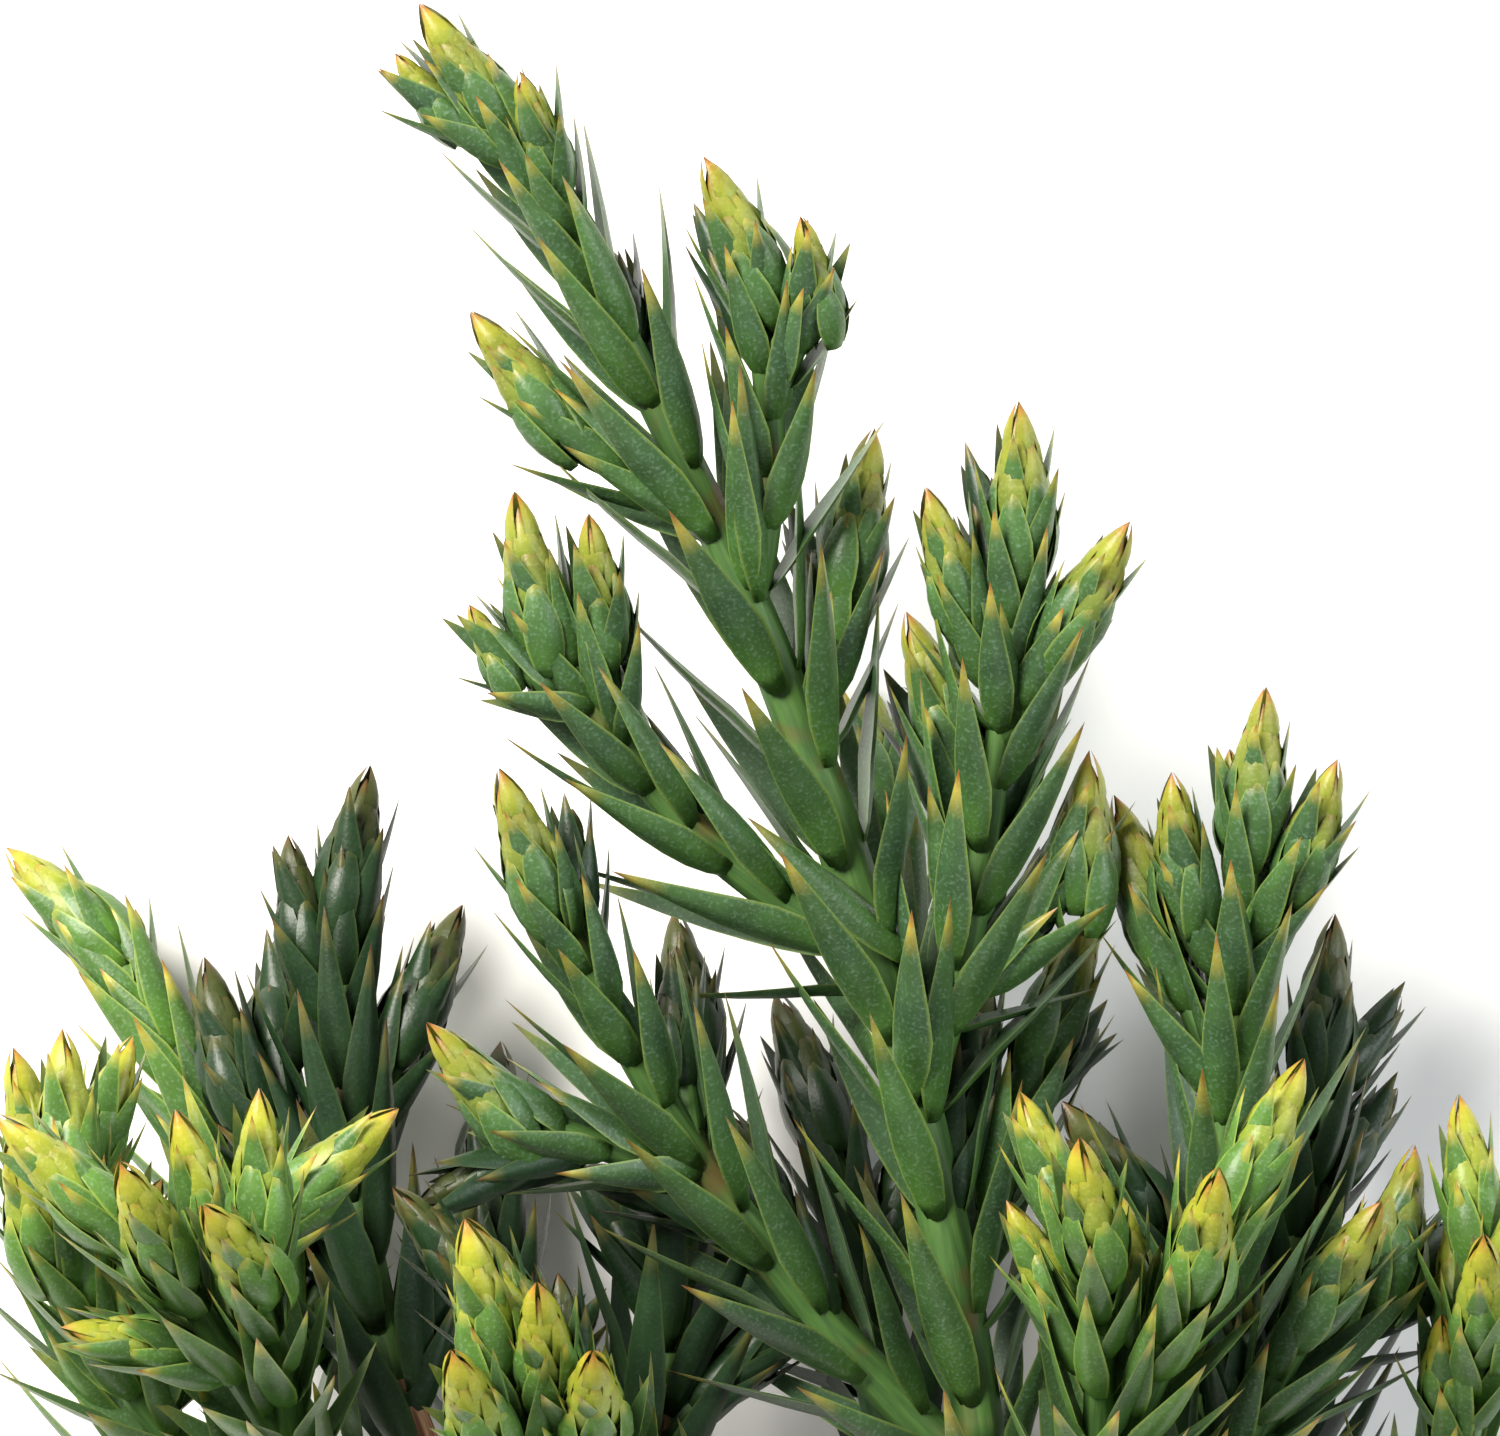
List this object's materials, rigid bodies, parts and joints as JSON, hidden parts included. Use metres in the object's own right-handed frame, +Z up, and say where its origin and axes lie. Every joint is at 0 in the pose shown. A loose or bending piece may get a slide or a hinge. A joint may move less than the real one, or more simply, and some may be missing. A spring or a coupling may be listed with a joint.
{
  "type": "cut branch of blue carpet juniper",
  "caption": "Cut branch of a creeping juniper lying on its side: a woody stem, short boughs that rise from it, and leafy sprays of sharp blue-green needles.",
  "frame": {"origin": "centre of the box's underside, on the floor that the cut branch lies on", "axes": "+Y from the cut stem towards the leafy tips, +Z up from the floor, towards a camera that looks down"},
  "size_m": [0.0654, 0.075, 0.0339],
  "materials": {
    "needles": "blue-green waxy needles with yellow-brown tips on green shoots",
    "bark": "thin reddish-brown bark"
  },
  "bodies": {
    "root": {"back_centre_bough": "bark", "back_centre_spray": "needles", "back_left_bough": "bark", "back_left_spray": "needles", "back_middle_bough": "bark", "back_middle_spray": "needles", "back_right_bough": "bark", "back_right_spray": "needles", "cut_stem": "bark", "dark_bough": "bark", "dark_spray": "needles", "end_bough": "bark", "end_spray": "needles", "far_left_bough": "bark", "far_left_spray": "needles", "far_right_bough": "bark", "far_right_spray": "needles", "front_left_bough": "bark", "front_left_spray": "needles", "front_right_bough": "bark", "front_right_spray": "needles", "leader_bough": "bark", "leader_spray": "needles", "low_middle_bough": "bark", "low_middle_spray": "needles", "low_right_bough": "bark", "low_right_spray": "needles", "lower_left_spray": "needles", "near_left_bough": "bark", "near_left_spray": "needles", "near_middle_bough": "bark", "near_middle_spray": "needles", "right_bough": "bark", "right_spray": "needles"}
  },
  "joints": []
}
